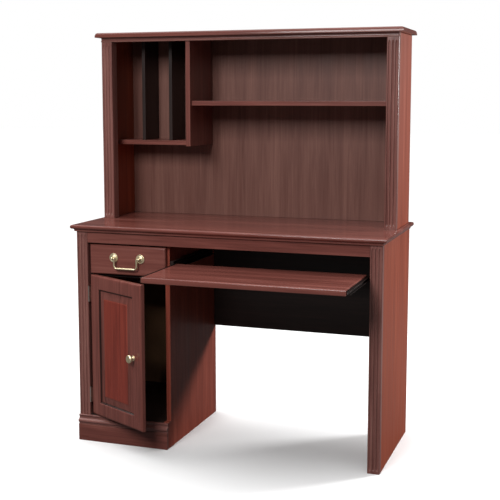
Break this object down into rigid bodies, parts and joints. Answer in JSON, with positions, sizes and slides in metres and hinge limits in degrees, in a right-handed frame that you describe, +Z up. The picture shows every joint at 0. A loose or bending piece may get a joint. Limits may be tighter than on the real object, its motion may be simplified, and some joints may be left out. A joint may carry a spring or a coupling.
{
  "type": "computer desk with hutch",
  "caption": "Cherry-finish computer desk: a pedestal with drawer and cabinet, a slide-out keyboard tray, and a tall fluted-post hutch with shelves over the worktop.",
  "frame": {"origin": "on the floor, at the middle of the desk's box with the keyboard tray drawn out", "axes": "+X to the right as the user faces the desk, +Y away from the user, +Z up"},
  "size_m": [1.088, 0.699, 1.401],
  "materials": {
    "cherry": "satin lacquer over printed cherry grain",
    "cherry_end": "satin laminate, lighter and redder",
    "moulding": "satin foil-wrapped moulding",
    "inside": "dull dark laminate",
    "raw_board": "bare board",
    "brass": "polished, lightly antiqued",
    "nickel": "nickel plated",
    "slide_metal": "zinc plated",
    "painted_steel": "dark brown paint",
    "catch": "moulded"
  },
  "bodies": {
    "frame": {"worktop": "cherry", "left_end_panel": "cherry_end", "left_post": "moulding", "right_end_panel": "cherry_end", "right_post": "moulding", "apron_rail": "cherry", "modesty_panel": "inside", "pedestal_partition": "cherry_end", "cabinet_floor": "inside", "drawer_divider": "inside", "pedestal_back": "raw_board", "plinth_board": "cherry", "plinth_cap_moulding": "moulding", "drawer_slide_packer": "raw_board", "drawer_slide_left_fixed": "slide_metal", "drawer_slide_right_fixed": "slide_metal", "hinge_lower_post_leaf": "nickel", "hinge_lower_pin": "nickel", "hinge_upper_post_leaf": "nickel", "hinge_upper_pin": "nickel", "magnet_catch": "catch", "tray_slide_spacer": "inside", "tray_slide_packer": "inside", "tray_slide_left_fixed": "painted_steel", "tray_slide_right_fixed": "painted_steel", "hutch_top": "cherry", "hutch_cornice": "moulding", "hutch_left_side": "cherry_end", "hutch_left_post": "moulding", "hutch_right_side": "cherry_end", "hutch_right_post": "moulding", "hutch_back": "inside", "hutch_partition": "cherry", "hutch_shelf_left": "cherry", "hutch_shelf_right": "cherry", "bay_divider_left": "inside", "bay_divider_right": "inside"},
    "drawer": {"drawer_front": "cherry", "drawer_left_side": "inside", "drawer_right_side": "inside", "drawer_back": "inside", "drawer_bottom": "raw_board", "drawer_slide_left_moving": "slide_metal", "drawer_slide_right_moving": "slide_metal", "pull_rosette_left": "brass", "pull_rosette_right": "brass"},
    "bail": {"bail_handle": "brass"},
    "door": {"door_panel": "cherry", "door_knob": "brass", "hinge_lower_door_leaf": "nickel", "hinge_upper_door_leaf": "nickel", "catch_strike": "nickel"},
    "tray": {"keyboard_tray": "cherry", "tray_slide_left_moving": "painted_steel", "tray_slide_right_moving": "painted_steel"}
  },
  "joints": [
    {"name": "tray_slide", "type": "slide", "parent": "frame", "child": "tray", "axis": [0, -1, 0], "range_m": [-0.262, 0]},
    {"name": "drawer_slide", "type": "slide", "parent": "frame", "child": "drawer", "axis": [0, -1, 0], "range_m": [0, 0.27]},
    {"name": "door_hinge", "type": "hinge", "parent": "frame", "child": "door", "pos_m": [-0.485, -0.0955, 0.3365], "axis": [0, 0, -1], "range_deg": [-27.6, 67.4]},
    {"name": "bail_swing", "type": "hinge", "parent": "drawer", "child": "bail", "pos_m": [-0.3415, -0.1055, 0.642], "axis": [-1, 0, 0], "range_deg": [-18, 95]}
  ]
}
